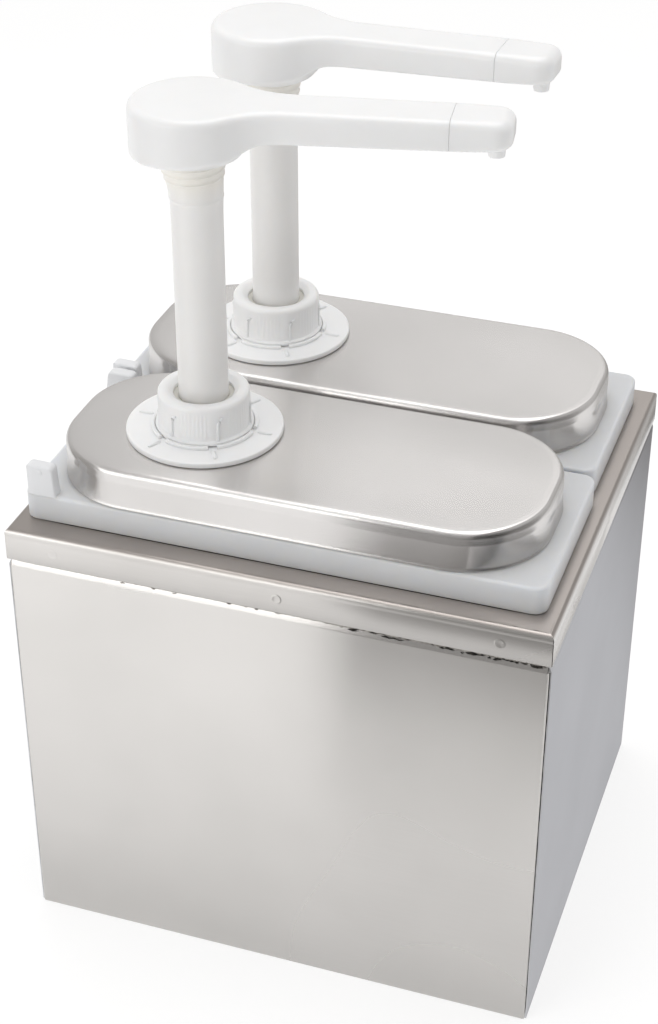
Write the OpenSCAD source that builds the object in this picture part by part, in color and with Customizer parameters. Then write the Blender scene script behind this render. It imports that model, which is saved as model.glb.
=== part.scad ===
// Twin condiment pump dispenser.
//
// A folded sheet-steel housing carries two lift-out plastic tubs side by side.
// Each tub has a drawn steel lid, and each lid carries a plunger pump with a
// long swivelling spout.  Millimetres, +Z up, origin at the middle of the
// base.  +X is the side the spouts point to; "left" is the -Y half.

/* [Housing] */
// Length of the housing along the spouts
box_l = 225; // [215:1:260]
// Width of the housing across the two tubs
box_w = 195; // [195:1:230]
// Height of the housing, to the flat ledge of its top frame
box_h = 200; // [190:1:240]
// Thickness of the steel sheet
sheet = 0.8; // [0.6:0.1:1.2]
// Depth of the skirt that the top frame folds down over the panels
skirt_h = 14; // [10:1:20]

/* [Tubs] */
// Distance between the middles of the two openings
pitch = 88; // [87:0.5:90]
// Place of the openings' middle, along X
opening_x = -2; // [-3:0.5:1]
// Where the left tub sits in the play of its opening, along X
left_dx = 0.8; // [-1:0.1:1]
// Where the left tub sits in the play of its opening, along Y
left_dy = 0.75; // [-1:0.05:1]
// Where the right tub sits in the play of its opening, along X
right_dx = -0.8; // [-1:0.1:1]
// Where the right tub sits in the play of its opening, along Y
right_dy = 0.8; // [-1:0.05:1]
// Length of a tub's rim
rim_l = 214.6; // [208:0.2:215]
// Width of a tub's rim
rim_w = 86; // [84:0.5:86]
// Height of a tub's rim above the top frame
rim_h = 12; // [8:1:16]
// Wall thickness of a tub
tub_wall = 2.4; // [1.6:0.2:3]
// Height of a tub's floor above the table
tub_floor_z = 14; // [6:1:24]
// Height of the two lugs at the back corners of the rim
lug_h = 13; // [6:1:16]

/* [Lids] */
// Length of a lid
lid_l = 200.6; // [198:0.2:204]
// Width of a lid
lid_w = 84.6; // [82:0.2:85.6]
// Height of a lid above the tub's rim
lid_h = 17; // [14:1:22]
// Corner radius of a lid, seen from above
lid_r = 35; // [30:1:40]
// Radius of the edge between a lid's top and its wall
lid_edge = 3.4; // [2:0.2:5]

/* [Pumps] */
// Distance of each pump axis behind the middle of its lid
pump_back = 45.4; // [40:0.2:50]
// Plunger stroke
stroke = 80; // [50:5:80]
// Diameter of the stem
stem_d = 20; // [18:0.5:20]
// Diameter of the flange on the lid
flange_d = 63.5; // [56:0.5:70]
// Diameter of the collar nut
collar_d = 37; // [36:0.5:42]
// Inner diameter of the pump cylinder
bore_d = 22.6; // [22.6:0.2:24]

/* [Spouts] */
// Height of the head's top above the table, at the pump axis
head_top_z = 369.2; // [360:1:380]
// Radius of the round head
head_r = 24.5; // [22:0.5:28]
// Width of the arm
arm_w = 22; // [18:0.5:24]
// Distance from the pump axis to the seam of the nozzle tip
seam_s = 96; // [80:1:110]
// Distance from the pump axis to the end of the nozzle tip
reach = 118.5; // [100:0.5:130]
// Rise of the arm's top, in degrees
arm_rise = 1; // [0:0.5:3]
// Rise of the arm's underside, in degrees
under_rise = 1.9; // [0:0.1:4]
// Turn of the left spout towards the middle, in degrees
left_turn = 8.5; // [0:0.5:9]
// Turn of the right spout away from the middle, in degrees
right_turn = 1.5; // [0:0.5:9]

/* [Hidden] */
$fn = 96;
eps = 0.01;
// Sheet-steel housing
skirt_r = 1.2;
panel_y = box_w / 2 - 0.3;
panel_x = box_l / 2 - 0.3;
shoulder_r = 6;
shoulder_turn = 45;
shoulder_in = shoulder_r * (1 - cos(shoulder_turn));
shoulder_up = shoulder_r * sin(shoulder_turn);
shoulder_z = box_h - skirt_h - shoulder_up + 0.6;
flange_top_z = box_h - 2;
corner_bend = 1.6;
return_w = 14;
tray_h = 10;
// Tub
lip_l = lid_l - 3.2;
lip_w = lid_w - 3.2;
lip_r = lid_r - 1.6;
lip_h = 8;
rim_z = box_h + rim_h;
rim_r = 5.5;
wall_in = 1.8;
draft = 4;
foot_r = 8;
opening_l = lip_l - 2 * wall_in + 4;
opening_w = lip_w - 2 * wall_in + 3.5;
opening_r = lip_r;
lug_l = 14;
lug_w = 5.2;
lug_in = 0.6;
lug_draft = 1.4;
// Lid
lid_z = rim_z + lid_h;
hem = 0.9;
// Pump fittings, from the lid upwards and downwards
gasket_t = 0.6;
flange_z = lid_z + gasket_t;
flange_t = 2;
neck_z = flange_z + flange_t;
neck_top_z = lid_z + 14;
neck_d = bore_d + 8;
spigot_d = 34;
cyl_d = bore_d + 3.4;
cyl_flange_t = 1.6;
collar_z = neck_z + 0.3;
collar_top_z = lid_z + 19.5;
collar_top_t = 3;
collar_hole_d = 24.5;
bush_flange_t = collar_top_z - collar_top_t - neck_top_z - cyl_flange_t - 0.1;
bush_bottom_z = lid_z - 5;
run_gap = 0.08;
// Piston, valves and spring
piston_h = 18;
piston_top_z = bush_bottom_z - 1;
piston_z = piston_top_z - piston_h;
piston_d = bore_d - 0.8;
spigot_stem_d = 16;
outlet_r = 4.5;
outlet_seat_d = 6.4;
outlet_seat_z = piston_z + 3;
outlet_gap = 0.15;
outlet_z = outlet_seat_z + sqrt(pow(outlet_r, 2) - pow(outlet_seat_d / 2, 2)) + outlet_gap;
valve_lift = 3;
spring_wire = 1.4;
spring_d = 18;
spring_turns = 12;
spring_len = stroke + 27.8;
spring_z = piston_z - 0.2 - spring_len;
cyl_bottom_z = spring_z - 5;
valve_z = cyl_bottom_z - 22;
inlet_r = 5;
inlet_seat_d = 7;
inlet_seat_z = valve_z + 10;
inlet_z = inlet_seat_z + sqrt(pow(inlet_r, 2) - pow(inlet_seat_d / 2, 2)) + outlet_gap;
dip_d = 12;
dip_bottom_z = tub_floor_z + 8;
// Stem and spout
head_z = head_top_z - 22.9;
spigot_h = 9;
thread_z = head_z - 11.5;
thread_pitch = 3;
flare_z = head_z - 18;
neck_r = 12.4;
bowl_r = 13.6;
bowl_h = 5.6;
// The head's lower edge climbs towards the arm
edge_z = head_top_z - 18.2;
edge_rise = 6;
arm_under_z = head_top_z - 12.9;
blend_r = 32;
duct_d = 7;
duct_z = head_top_z - 6.6;
tip_plug = 6;
nozzle_s = 112.3;
nozzle_d = 6.6;
nozzle_z = head_top_z - 14.2;
rib_count = 6;
rib_turn = -51.6;
disc_rib_turn = -60;
guard_r = 21.7;
guard_h = 1.5;

STEEL = "silver";
STEEL_DARK = "darkgray";
MILKY = "aliceblue";
WHITE = "white";
SOFT = "gainsboro";
BALL = "dimgray";

// ---- shared shapes -------------------------------------------------------

// Points along an arc, both ends included
function arc(cx, cy, r, a0, a1, n = 8) =
  [for (i = [0:n]) let (a = a0 + (a1 - a0) * i / n) [cx + r * cos(a), cy + r * sin(a)]];

// Rectangle with round corners, centred
module rounded_rect(l, w, r) {
  square([l - 2 * r, w], center = true);
  square([l, w - 2 * r], center = true);
  for (sx = [-1, 1], sy = [-1, 1])
    translate([sx * (l / 2 - r), sy * (w / 2 - r)]) circle(r);
}

// Sweeps a profile round a rounded rectangle.  The profile's x is the distance
// outwards from the outline and its y is the height.
module swept_round(l, w, r) {
  for (k = [0:3]) {
    sx = (k == 0 || k == 3) ? 1 : -1;
    sy = k < 2 ? 1 : -1;
    translate([sx * (l / 2 - r), sy * (w / 2 - r), 0])
      rotate([0, 0, 90 * k])
        rotate_extrude(angle = 90) translate([r, 0]) children();
  }
  for (a = [0, 180])
    rotate([0, 0, a]) translate([l / 2, w / 2 - r, 0])
      rotate([90, 0, 0]) linear_extrude(w - 2 * r) children();
  for (a = [90, 270])
    rotate([0, 0, a]) translate([w / 2, l / 2 - r, 0])
      rotate([90, 0, 0]) linear_extrude(l - 2 * r) children();
}

// Tube along Z
module tube(d_out, d_in, z0, z1) {
  translate([0, 0, z0]) difference() {
    cylinder(d = d_out, h = z1 - z0);
    translate([0, 0, -1]) cylinder(d = d_in, h = z1 - z0 + 2);
  }
}

// Solid rod along Z
module rod(d, z0, z1) {
  translate([0, 0, z0]) cylinder(d = d, h = z1 - z0);
}

// Places a part on one half of the dispenser: -1 is left, 1 is right
module on_opening(side) { translate([opening_x, side * pitch / 2, 0]) children(); }
module on_tub(side) {
  on_opening(side)
    translate(side < 0 ? [left_dx, left_dy, 0] : [right_dx, right_dy, 0]) children();
}
module on_pump(side) { on_tub(side) translate([-pump_back, 0, 0]) children(); }
module on_spout(side) {
  on_pump(side) rotate([0, 0, side < 0 ? left_turn : -right_turn]) children();
}

// ---- housing -------------------------------------------------------------

// Flat ledge with one opening for each tub, folded down all round
module top_frame() {
  color(STEEL_DARK) {
    difference() {
      translate([0, 0, box_h - sheet])
        linear_extrude(sheet) rounded_rect(box_l - 4, box_w - 4, skirt_r);
      for (side = [-1, 1]) on_opening(side)
        translate([0, 0, box_h - sheet - 1])
          linear_extrude(sheet + 2) rounded_rect(opening_l, opening_w, opening_r);
    }
    swept_round(box_l, box_w, skirt_r + 1) polygon(concat(
      [[-sheet, box_h - skirt_h], [0, box_h - skirt_h]],
      arc(-2, box_h - 2, 2, 0, 90),
      [[-2.1, box_h], [-2.1, box_h - sheet]],
      arc(-2, box_h - 2, 2 - sheet, 90, 0)));
  }
}

// Upright profile of a panel: face, round shoulder, flange behind the skirt.
// x is the distance inwards from the outer face.
module panel_profile() {
  polygon(concat(
    [[sheet, 0], [0, 0]],
    arc(shoulder_r, shoulder_z, shoulder_r, 180, 180 - shoulder_turn),
    [[shoulder_in + sheet, shoulder_z + shoulder_up + 1.2], [shoulder_in + sheet, flange_top_z]],
    [[shoulder_in + 2 * sheet, flange_top_z],
     [shoulder_in + 2 * sheet, shoulder_z + shoulder_up + 0.6]],
    arc(shoulder_r, shoulder_z, shoulder_r - sheet, 180 - shoulder_turn, 180)));
}

// Side panel with a return flange folded round each upright edge
module side_panel(side) {
  half = panel_x - sheet - corner_bend;
  color(STEEL) {
    for (flip = [0, 1]) mirror([0, side > 0 ? 1 : 0, 0]) mirror([flip, 0, 0]) {
      translate([0, -panel_y, 0]) rotate([90, 0, 90])
        linear_extrude(half) panel_profile();
      linear_extrude(shoulder_z - 1) polygon(concat(
        [[half - eps, -panel_y]],
        arc(half, corner_bend - panel_y, corner_bend, -90, 0),
        [[panel_x - sheet, return_w - panel_y], [panel_x - 2 * sheet, return_w - panel_y]],
        arc(half, corner_bend - panel_y, corner_bend - sheet, 0, -90),
        [[half - eps, sheet - panel_y]]));
    }
  }
}

// End panel, welded over the side panels' return flanges
module end_panel(dir) {
  color(STEEL) mirror([dir < 0 ? 1 : 0, 0, 0])
    translate([panel_x, corner_bend - 0.8 - panel_y, 0])
      rotate([90, 0, 180]) linear_extrude(2 * (panel_y - corner_bend + 0.8)) panel_profile();
}

// Floor of the housing, with a low upturned edge inside the panels
module base_tray() {
  l = 2 * (panel_x - 2 * sheet);
  w = 2 * (panel_y - sheet);
  color(STEEL_DARK) {
    linear_extrude(sheet) rounded_rect(l - 2, w - 2, 1);
    swept_round(l, w, 2) polygon(concat(
      [[-1.1, sheet], [-1.1, 0]],
      arc(-1, 1, 1, -90, 0, 6),
      [[0, tray_h], [-sheet, tray_h]],
      arc(-1, 1, 1 - sheet, 0, -90, 6)));
  }
}

// ---- tub and lid ---------------------------------------------------------

// Lift-out tub: hollow rim on the frame, upstanding lip for the lid, deep body
module tub(side) {
  z_wall = tub_floor_z + foot_r;
  low = -wall_in - draft;
  color(MILKY) on_tub(side) {
    difference() {
      translate([0, 0, box_h]) linear_extrude(rim_h) rounded_rect(rim_l, rim_w, rim_r);
      translate([0, 0, box_h - 1])
        linear_extrude(rim_h + 1 - tub_wall)
          rounded_rect(rim_l - 2 * tub_wall, rim_w - 2 * tub_wall, rim_r - tub_wall);
      translate([0, 0, box_h - 1]) linear_extrude(rim_h + 2)
        rounded_rect(lip_l - tub_wall, lip_w - tub_wall, lip_r - tub_wall / 2);
    }
    swept_round(lip_l, lip_w, lip_r) polygon(concat(
      [[-tub_wall, rim_z + lip_h], [-0.6, rim_z + lip_h], [0, rim_z + lip_h - 0.6],
       [0, rim_z - tub_wall], [-wall_in, rim_z - tub_wall - 2]],
      arc(low - foot_r, z_wall, foot_r, 0, -90),
      arc(low - foot_r, z_wall, foot_r - tub_wall, -90, 0),
      [[-wall_in - tub_wall, rim_z - tub_wall - 2], [-tub_wall, rim_z - tub_wall + 1]]));
    translate([0, 0, tub_floor_z]) linear_extrude(tub_wall) rounded_rect(
      lip_l + 2 * low - 2 * foot_r + 0.2, lip_w + 2 * low - 2 * foot_r + 0.2,
      lip_r + low - foot_r + 0.1);
    tub_lug();
    mirror([0, 1, 0]) tub_lug();
  }
}

// Upstanding lug at a back corner of the rim, with a round pivot pip on its outer face
module tub_lug() {
  top = rim_z + lug_h;
  x0 = 0.2 - rim_l / 2;
  x1 = x0 + lug_draft;
  intersection() {
    translate([0, 0, rim_z - 2]) linear_extrude(lug_h + 3)
      rounded_rect(rim_l - 0.4, rim_w - 0.4, rim_r - 0.2);
    translate([0, lug_in + lug_w - rim_w / 2, 0]) rotate([90, 0, 0]) linear_extrude(lug_w)
      polygon(concat(
        [[x0, rim_z - 1], [x0, rim_z]],
        arc(x1 + 2.5, top - 2.5, 2.5, 180, 90, 5),
        arc(x0 + lug_l - 2, top - 2, 2, 90, 0, 5),
        [[x0 + lug_l + 0.4, rim_z], [x0 + lug_l + 0.4, rim_z - 1]]));
  }
  translate([x0 + 8, lug_in + 0.6 - rim_w / 2, top - 2.8]) rotate([90, 0, 0])
    cylinder(r = 1.2, h = 1);
}

// Drawn steel lid with a turned hem and a hole for the pump
module lid(side) {
  color(STEEL) difference() {
    on_tub(side) {
      swept_round(lid_l, lid_w, lid_r) polygon(concat(
        [[-sheet, rim_z], [0.2, rim_z], [0.4, rim_z + 0.4], [0.2, rim_z + hem], [0, rim_z + hem + 0.6]],
        arc(-lid_edge, lid_z - lid_edge, lid_edge, 0, 90),
        [[-lid_edge - 0.1, lid_z], [-lid_edge - 0.1, lid_z - sheet]],
        arc(-lid_edge, lid_z - lid_edge, lid_edge - sheet, 90, 0)));
      translate([0, 0, lid_z - sheet]) linear_extrude(sheet)
        rounded_rect(lid_l - 2 * lid_edge, lid_w - 2 * lid_edge, lid_r - lid_edge);
    }
    on_pump(side) rod(spigot_d + 0.6, lid_z - 5, lid_z + 5);
  }
}

// ---- pump fittings fixed to the lid --------------------------------------

// Soft washer between flange and lid
module flange_gasket(side) {
  color(SOFT) on_pump(side) tube(flange_d - 4, spigot_d, lid_z, flange_z);
}

// Disc flange with short radial ribs, a neck above and a threaded spigot below
module pump_flange(side) {
  color(WHITE) on_pump(side) {
    difference() {
      union() {
        rotate_extrude() polygon([
          [cyl_d / 2 - 1, flange_z], [flange_d / 2 - 0.4, flange_z],
          [flange_d / 2, flange_z + 0.4], [flange_d / 2, neck_z - 0.6],
          [flange_d / 2 - 0.6, neck_z], [cyl_d / 2 - 1, neck_z]]);
        rod(neck_d, neck_z - 1, neck_top_z);
        rod(spigot_d, lid_z - 13, flange_z + 1);
        for (k = [0:rib_count - 1]) rotate([0, 0, disc_rib_turn + 360 * k / rib_count])
          translate([collar_d / 2 + 4, -0.5, neck_z - 0.5]) cube([6, 1, 0.9]);
        tube(2 * guard_r, 2 * guard_r - 2.4, neck_z - 0.5, neck_z + guard_h);
      }
      rod(cyl_d, lid_z - 20, neck_top_z + 1);
    }
  }
}

// Six-sided nut that clamps the flange from inside the lid
module back_nut(side) {
  color(SOFT) on_pump(side) difference() {
    translate([0, 0, lid_z - 9]) cylinder(d = 50, h = 9 - sheet, $fn = 6);
    rod(spigot_d, lid_z - 12, lid_z);
  }
}

// Screw collar with a bottom ring and six upright ribs
module collar_nut(side) {
  r = collar_d / 2;
  color(WHITE) on_pump(side) {
    difference() {
      rotate_extrude() polygon(concat(
        [[0, collar_z], [r + 1.2, collar_z], [r + 1.4, collar_z + 0.8], [r + 1.2, collar_z + 1.6],
         [r, collar_z + 2]],
        arc(r - 1.5, collar_top_z - 1.5, 1.5, 0, 90, 5),
        [[0, collar_top_z]]));
      rod(neck_d + 0.4, collar_z - 1, collar_top_z - collar_top_t);
      rod(collar_hole_d, collar_z, collar_top_z + 1);
    }
    for (k = [0:rib_count - 1]) rotate([0, 0, rib_turn + 360 * k / rib_count])
      translate([r - 0.5, -0.6, collar_z + 1]) cube([1.3, 1.2, 9]);
  }
}

// Plain bearing that guides the stem
module guide_bush(side) {
  flange_bottom_z = neck_top_z + cyl_flange_t;
  color(SOFT) on_pump(side) difference() {
    union() {
      rod(neck_d, flange_bottom_z, flange_bottom_z + bush_flange_t);
      rod(bore_d, bush_bottom_z, flange_bottom_z + eps);
    }
    rod(stem_d + 2 * run_gap, bush_bottom_z - 1, collar_top_z);
  }
}

// Pump barrel, hung from its own flange on the neck
module pump_cylinder(side) {
  color(WHITE) on_pump(side) difference() {
    union() {
      rod(cyl_d, cyl_bottom_z, neck_top_z + eps);
      rod(neck_d, neck_top_z, neck_top_z + cyl_flange_t);
    }
    rod(bore_d, cyl_bottom_z - 1, neck_top_z + cyl_flange_t + 1);
  }
}

// Foot of the pump: spring seat, ball chamber, ball seat and dip-tube socket
module inlet_valve_body(side) {
  color(SOFT) on_pump(side) {
    difference() {
      union() {
        rod(bore_d, cyl_bottom_z - eps, spring_z);
        rod(cyl_d, cyl_bottom_z - 4, cyl_bottom_z);
        rod(dip_d + 4, valve_z, cyl_bottom_z - 4 + eps);
      }
      rod(dip_d, valve_z - 1, inlet_seat_z - 2);
      rod(inlet_seat_d, valve_z, inlet_seat_z + 1);
      rod(2 * inlet_r + 2, inlet_seat_z, spring_z + 1);
    }
    translate([0, 0, spring_z - 2]) rotate([90, 0, 0])
      cylinder(d = 1.6, h = 2 * inlet_r + 3, center = true);
  }
}

// Suction tube, cut on the slant at its foot
module dip_tube(side) {
  color(WHITE) on_pump(side) difference() {
    tube(dip_d, dip_d - 3, dip_bottom_z, inlet_seat_z - 2);
    translate([0, 0, dip_bottom_z]) rotate([0, -30, 0])
      translate([-20, -20, -20]) cube([40, 40, 20 + 2]);
  }
}

module inlet_ball(side) {
  color(BALL) on_pump(side) translate([0, 0, inlet_z]) sphere(inlet_r);
}

// ---- moving parts of the pump --------------------------------------------

// Points of one ring of the spring's wire, at turn t from 0 to spring_turns
function wire_ring(t, sides) =
  let (a = 360 * t,
       h = spring_len - spring_wire,
       c = [spring_d / 2 * cos(a), spring_d / 2 * sin(a), spring_z + spring_wire / 2 + h * t / spring_turns])
  [for (k = [0:sides - 1]) let (b = 360 * k / sides)
    c + spring_wire / 2 * [cos(b) * cos(a), cos(b) * sin(a), sin(b)]];

// Compression spring between the foot and the piston
module return_spring(side) {
  steps = 16;
  sides = 6;
  rings = spring_turns * steps;
  points = [for (i = [0:rings]) each wire_ring(i / steps, sides)];
  faces = concat(
    [[for (k = [0:sides - 1]) k]],
    [for (i = [0:rings - 1], k = [0:sides - 1])
      let (n = (k + 1) % sides, a = i * sides, b = a + sides) [a + k, b + k, b + n, a + n]],
    [[for (k = [sides - 1:-1:0]) rings * sides + k]]);
  color(BALL) on_pump(side) polyhedron(points, faces);
}

// Piston with the outlet valve's seat and the socket for the stem
module piston(side) {
  socket_z = piston_z + 8;
  color(WHITE) on_pump(side) difference() {
    rod(piston_d, piston_z, piston_top_z);
    rod(outlet_seat_d, piston_z - 1, outlet_seat_z + 1);
    rod(2 * outlet_r + 1.6, outlet_seat_z, socket_z + 1);
    rod(spigot_stem_d + 2 * run_gap, socket_z, piston_top_z + 1);
    for (z = [piston_z + 3, piston_z + 11])
      tube(piston_d + 4, piston_d - 3, z, z + 3);
  }
}

// Two soft rings in the piston's grooves
module piston_seal(side) {
  color(SOFT) on_pump(side)
    for (z = [piston_z + 3, piston_z + 11])
      tube(bore_d - 0.1, piston_d - 3, z, z + 3);
}

module outlet_ball(side) {
  color(BALL) on_pump(side) translate([0, 0, outlet_z]) sphere(outlet_r);
}

// Hollow stem: spigot in the piston, long shaft, flare, lock thread, head spigot
module stem(side) {
  spigot_z = piston_z + 8.5;
  ball_stop_z = outlet_z + valve_lift + outlet_r - 1.1;
  r = stem_d / 2;
  color(WHITE) on_spout(side) difference() {
    rotate_extrude() polygon(concat(
      [[0, spigot_z], [spigot_stem_d / 2, spigot_z], [spigot_stem_d / 2, piston_top_z + 0.4],
       [r, piston_top_z + 0.4], [r, flare_z]],
      [for (k = [0:2]) let (z = thread_z + thread_pitch * k, base = r + 0.8 + 0.5 * k)
        each [[base, z], [base + 0.7, z + 0.9], [base + 0.2, z + 1.8]]],
      [[neck_r, head_z], [7.5, head_z], [7.5, head_z + spigot_h], [0, head_z + spigot_h]]));
    rod(2 * outlet_r + 1.6, spigot_z - 1, ball_stop_z);
    rod(duct_d, spigot_z, head_z + spigot_h + 1);
  }
}

// ---- spout ---------------------------------------------------------------

// Plan outline of the head and arm: round head, hollow blends, straight arm
module head_outline(end_s) {
  half = arm_w / 2;
  blend_s = sqrt(pow(head_r + blend_r, 2) - pow(half + blend_r, 2));
  meet = atan2(half + blend_r, blend_s);
  polygon(concat(
    arc(0, 0, head_r, meet, 360 - meet, 48),
    arc(blend_s, -half - blend_r, blend_r, 180 - meet, 90, 10),
    [[end_s, -half], [end_s, half]],
    arc(blend_s, half + blend_r, blend_r, 270, 180 + meet, 10)));
}

// Side outline of head and arm between two stations along the arm
module arm_side(s0, s1, z_low) {
  polygon([
    [s0, z_low], [s1, arm_under_z + s1 * tan(under_rise)],
    [s1, head_top_z + s1 * tan(arm_rise)], [s0, head_top_z + max(s0, 0) * tan(arm_rise)]]);
}

// Upright prism of a side outline, wide enough for any arm
module across_arm() { rotate([90, 0, 0]) linear_extrude(80, center = true) children(); }

// Solid of the head and arm before its ducts
module head_body() {
  slope_start = 18;
  slope_end = 27;
  intersection() {
    translate([0, 0, head_z]) linear_extrude(40) head_outline(seam_s);
    across_arm() polygon([
      [-40, edge_z - 40 * tan(edge_rise)], [slope_start, edge_z + slope_start * tan(edge_rise)],
      [slope_end, arm_under_z + slope_end * tan(under_rise)],
      [seam_s, arm_under_z + seam_s * tan(under_rise)],
      [seam_s, head_top_z + seam_s * tan(arm_rise)], [0, head_top_z], [-40, head_top_z]]);
  }
  rotate_extrude() polygon(
    [[0, head_z], [bowl_r, head_z], [head_r - 0.6, head_z + bowl_h], [head_r - 0.6, head_z + 11],
     [0, head_z + 11]]);
}

module spout_head(side) {
  color(WHITE) on_spout(side) difference() {
    head_body();
    rod(15, head_z - 1, head_z + spigot_h + 1);
    rod(duct_d, head_z, duct_z);
    translate([0, 0, duct_z]) rotate([0, 90, 0]) cylinder(d = duct_d, h = seam_s + 1);
    translate([seam_s - tip_plug, 0, duct_z]) rotate([0, 90, 0]) cylinder(d = 10, h = tip_plug + 1);
  }
}

// Nozzle tip: rounded end, tubular plug into the arm, outlet facing down
module nozzle_tip(side) {
  gap = 0.1;
  round_r = 7;
  tip_l = reach - seam_s - gap;
  color(WHITE) on_spout(side) difference() {
    union() {
      intersection() {
        translate([0, 0, nozzle_z]) linear_extrude(40) {
          translate([seam_s + gap, -arm_w / 2]) square([tip_l - round_r, arm_w]);
          translate([seam_s + gap + tip_l / 2, 0]) rounded_rect(tip_l, arm_w, round_r);
        }
        across_arm() arm_side(seam_s - 1, reach + 1, arm_under_z + (seam_s - 1) * tan(under_rise));
      }
      translate([nozzle_s, 0, nozzle_z]) cylinder(d = nozzle_d, h = duct_z - nozzle_z);
      translate([seam_s - tip_plug, 0, duct_z]) rotate([0, 90, 0])
        cylinder(d = 10, h = tip_plug + 2);
    }
    translate([seam_s - tip_plug - 1, 0, duct_z]) rotate([0, 90, 0])
      cylinder(d = duct_d, h = nozzle_s - seam_s + tip_plug + 1);
    translate([nozzle_s, 0, nozzle_z - 1]) cylinder(d = 4.4, h = duct_z - nozzle_z + 1);
  }
}

// ---- assembly ------------------------------------------------------------

top_frame();
side_panel(-1);  // left_side_panel
side_panel(1);  // right_side_panel
end_panel(1);  // front_panel
end_panel(-1);  // rear_panel
base_tray();

tub(-1);  // left_tub
lid(-1);  // left_lid
flange_gasket(-1);  // left_flange_gasket
pump_flange(-1);  // left_pump_flange
back_nut(-1);  // left_back_nut
collar_nut(-1);  // left_collar_nut
guide_bush(-1);  // left_guide_bush
pump_cylinder(-1);  // left_pump_cylinder
inlet_valve_body(-1);  // left_inlet_valve_body
dip_tube(-1);  // left_dip_tube
inlet_ball(-1);  // left_inlet_ball
return_spring(-1);  // left_return_spring
piston(-1);  // left_piston
piston_seal(-1);  // left_piston_seal
outlet_ball(-1);  // left_outlet_ball
stem(-1);  // left_stem
spout_head(-1);  // left_spout_head
nozzle_tip(-1);  // left_nozzle_tip

tub(1);  // right_tub
lid(1);  // right_lid
flange_gasket(1);  // right_flange_gasket
pump_flange(1);  // right_pump_flange
back_nut(1);  // right_back_nut
collar_nut(1);  // right_collar_nut
guide_bush(1);  // right_guide_bush
pump_cylinder(1);  // right_pump_cylinder
inlet_valve_body(1);  // right_inlet_valve_body
dip_tube(1);  // right_dip_tube
inlet_ball(1);  // right_inlet_ball
return_spring(1);  // right_return_spring
piston(1);  // right_piston
piston_seal(1);  // right_piston_seal
outlet_ball(1);  // right_outlet_ball
stem(1);  // right_stem
spout_head(1);  // right_spout_head
nozzle_tip(1);  // right_nozzle_tip
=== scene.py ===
"""Twin condiment pump dispenser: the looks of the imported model.

Lengths are millimetres until a mesh is made, +Z up, origin at the middle of the base.  The spouts
point to +X and "left" is the -Y half.
"""
import random
from math import atan2, cos, degrees, dist, exp, hypot, pi, radians, sin, sqrt, tan

import bmesh
import bpy
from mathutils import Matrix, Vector, noise

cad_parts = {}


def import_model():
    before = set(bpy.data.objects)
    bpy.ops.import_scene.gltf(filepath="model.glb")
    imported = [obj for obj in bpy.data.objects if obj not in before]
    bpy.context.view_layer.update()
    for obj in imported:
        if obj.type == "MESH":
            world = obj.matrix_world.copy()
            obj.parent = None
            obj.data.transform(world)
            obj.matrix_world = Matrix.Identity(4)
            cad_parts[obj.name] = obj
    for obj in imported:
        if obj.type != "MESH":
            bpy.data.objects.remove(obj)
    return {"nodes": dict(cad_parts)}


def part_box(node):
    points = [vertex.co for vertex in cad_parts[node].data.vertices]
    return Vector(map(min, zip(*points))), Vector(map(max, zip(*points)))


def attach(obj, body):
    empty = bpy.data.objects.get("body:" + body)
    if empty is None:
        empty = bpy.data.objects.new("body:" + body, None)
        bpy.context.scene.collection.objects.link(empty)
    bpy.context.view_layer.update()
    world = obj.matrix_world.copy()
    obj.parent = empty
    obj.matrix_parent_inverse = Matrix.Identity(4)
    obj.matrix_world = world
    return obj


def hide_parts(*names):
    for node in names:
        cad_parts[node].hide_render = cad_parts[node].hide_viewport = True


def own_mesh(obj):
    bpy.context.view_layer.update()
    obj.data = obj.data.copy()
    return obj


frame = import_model()
scene = bpy.context.scene
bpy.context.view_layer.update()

MM = 0.001
SIDES = {"left": -1, "right": 1}
CORNERS = ((1, 1), (-1, 1), (-1, -1), (1, -1))


def box_mm(node):
    """Lowest and highest corner of a CAD node, in millimetres."""
    low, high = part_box(node)
    return low / MM, high / MM


def middle(node):
    """Middle of a CAD node, seen from above."""
    low, high = box_mm(node)
    return (low.x + high.x) / 2, (low.y + high.y) / 2


# ---- sizes, from the frame where it gives them ----

SHEET = 0.8
FRAME_LOW, FRAME_HIGH = box_mm("top_frame")
BOX_L, BOX_W, BOX_H = FRAME_HIGH.x - FRAME_LOW.x, FRAME_HIGH.y - FRAME_LOW.y, FRAME_HIGH.z
SKIRT_Z = FRAME_LOW.z
PANEL_X = box_mm("front_panel")[1].x
PANEL_Y = box_mm("right_side_panel")[1].y
PANEL_TOP = box_mm("right_side_panel")[1].z
TUB_LOW, TUB_HIGH = box_mm("left_tub")
TUB_AT = {side: middle(side + "_tub") for side in SIDES}
OPENING_X, OPENING_Y = -2.0, 44.0
OPENING_AT = {side: (OPENING_X, sign * OPENING_Y) for side, sign in SIDES.items()}
LID_LOW, LID_HIGH = box_mm("left_lid")
RIM_L, RIM_W, RIM_R = TUB_HIGH.x - TUB_LOW.x, TUB_HIGH.y - TUB_LOW.y, 5.5
RIM_Z, LUG_Z, LID_Z = LID_LOW.z, TUB_HIGH.z, LID_HIGH.z
HEM_OUT = 0.4
LID_L, LID_W = LID_HIGH.x - LID_LOW.x - 2 * HEM_OUT, LID_HIGH.y - LID_LOW.y - 2 * HEM_OUT
LID_R, LID_EDGE = 35, 2.6
PUMP_AT = {side: middle(side + "_pump_flange") for side in SIDES}
HEAD_Z = box_mm("left_spout_head")[0].z
STEM_R = 10
# How far each spout is turned from +X at rest.
SPOUT_TURN = {"left": radians(8.5), "right": radians(-1.5)}


# ---- meshes ----

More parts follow.
